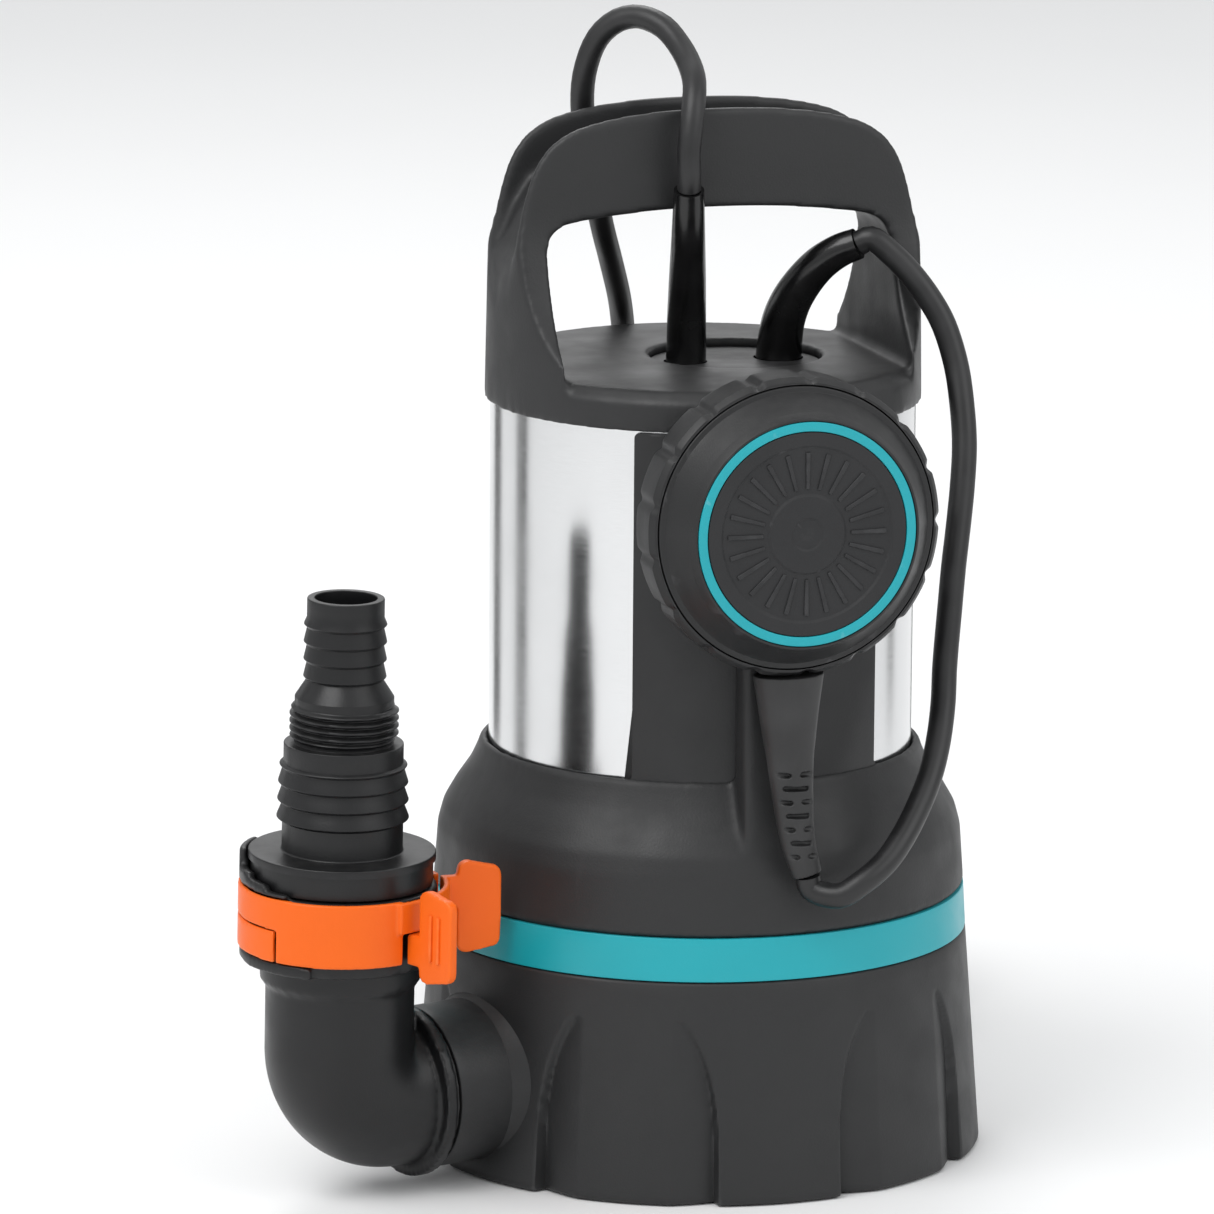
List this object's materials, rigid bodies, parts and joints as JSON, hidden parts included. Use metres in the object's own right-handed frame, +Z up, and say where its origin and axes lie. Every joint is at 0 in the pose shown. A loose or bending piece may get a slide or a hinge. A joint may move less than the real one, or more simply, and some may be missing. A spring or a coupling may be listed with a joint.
{
  "type": "submersible sump pump",
  "caption": "Submersible sump pump with steel casing, carrying handle, float switch on a front rail, swivel outlet elbow, clamp and stepped hose adapter.",
  "frame": {"origin": "on the pump's axis, on the surface that it stands on", "axes": "+Z up along the motor's axis; the float switch faces -Y; the outlet leaves towards -X and slightly -Y"},
  "size_m": [0.2924, 0.3565, 0.3573],
  "materials": {
    "dark_plastic": "fine grained",
    "black_plastic": "satin",
    "cord_rubber": "satin",
    "seal_rubber": "matte",
    "turquoise_plastic": "satin",
    "orange_plastic": "satin",
    "steel": "bright",
    "iron": "machined",
    "copper": "enamelled wire",
    "brass": "bright",
    "light_plastic": "matte"
  },
  "bodies": {
    "pump": {"base_foot": "dark_plastic", "suction_cover": "black_plastic", "base_screw_1": "steel", "base_screw_2": "steel", "base_screw_3": "steel", "base_screw_4": "steel", "volute_casing": "black_plastic", "shaft_seal": "seal_rubber", "oil_chamber": "black_plastic", "motor_flange": "iron", "lower_bearing": "steel", "housing_seal": "seal_rubber", "stator_core": "iron", "winding_lower": "copper", "winding_upper": "copper", "upper_bearing": "steel", "motor_end_plate": "iron", "start_capacitor": "light_plastic", "terminal_block": "light_plastic", "steel_shell": "steel", "colour_band": "turquoise_plastic", "lower_housing": "dark_plastic", "handle_cap": "dark_plastic", "gland_plate": "dark_plastic", "mains_strain_relief": "cord_rubber", "float_strain_relief": "cord_rubber", "float_cord": "cord_rubber", "mains_cord": "cord_rubber", "mains_coil": "cord_rubber", "coil_tie": "black_plastic", "mains_plug": "cord_rubber", "plug_pin_1": "brass", "plug_pin_2": "brass"},
    "rotor": {"shaft": "steel", "rotor_core": "iron", "impeller": "light_plastic", "impeller_nut": "brass"},
    "elbow": {"outlet_elbow": "black_plastic", "outlet_seal": "seal_rubber", "coupling_gasket": "seal_rubber"},
    "clamp_front": {"clamp_front_arm": "orange_plastic"},
    "clamp_rear": {"clamp_rear_arm": "orange_plastic"},
    "adapter": {"hose_adapter": "black_plastic"},
    "float": {"float_rear_shell": "black_plastic", "float_front_cap": "dark_plastic", "float_accent_ring": "turquoise_plastic", "float_face_plate": "dark_plastic", "float_boot": "cord_rubber", "switch_guide_tube": "light_plastic", "microswitch": "black_plastic"},
    "ball": {"switch_ball": "steel"}
  },
  "joints": [
    {"name": "rotor_spin", "type": "hinge", "parent": "pump", "child": "rotor", "pos_m": [0, 0, 0.12], "axis": [0, 0, 1], "continuous": true},
    {"name": "elbow_swivel", "type": "hinge", "parent": "pump", "child": "elbow", "pos_m": [-0.1046, -0.034, 0.0295], "axis": [-0.9511, -0.309, 0], "range_deg": [-60, 60]},
    {"name": "clamp_front_hinge", "type": "hinge", "parent": "elbow", "child": "clamp_front", "pos_m": [-0.15702, -0.05278, 0.0895], "axis": [-0.0086, 0.0266, -0.9996], "range_deg": [0, 2.5]},
    {"name": "clamp_rear_hinge", "type": "hinge", "parent": "elbow", "child": "clamp_rear", "pos_m": [-0.15702, -0.05278, 0.0895], "axis": [0.0086, -0.0266, 0.9996], "range_deg": [0, 2.5]},
    {"name": "adapter_lift", "type": "slide", "parent": "elbow", "child": "adapter", "axis": [0.0086, -0.0266, 0.9996], "range_m": [0, 0.04]},
    {"name": "float_slide", "type": "slide", "parent": "pump", "child": "float", "axis": [0, 0, 1], "range_m": [0, 0.03]},
    {"name": "ball_travel", "type": "slide", "parent": "float", "child": "ball", "axis": [0, 0, 1], "range_m": [0, 0.026]}
  ],
  "couplings": [
    {"joint": "clamp_rear_hinge", "follows": "clamp_front_hinge", "ratio": 1}
  ]
}
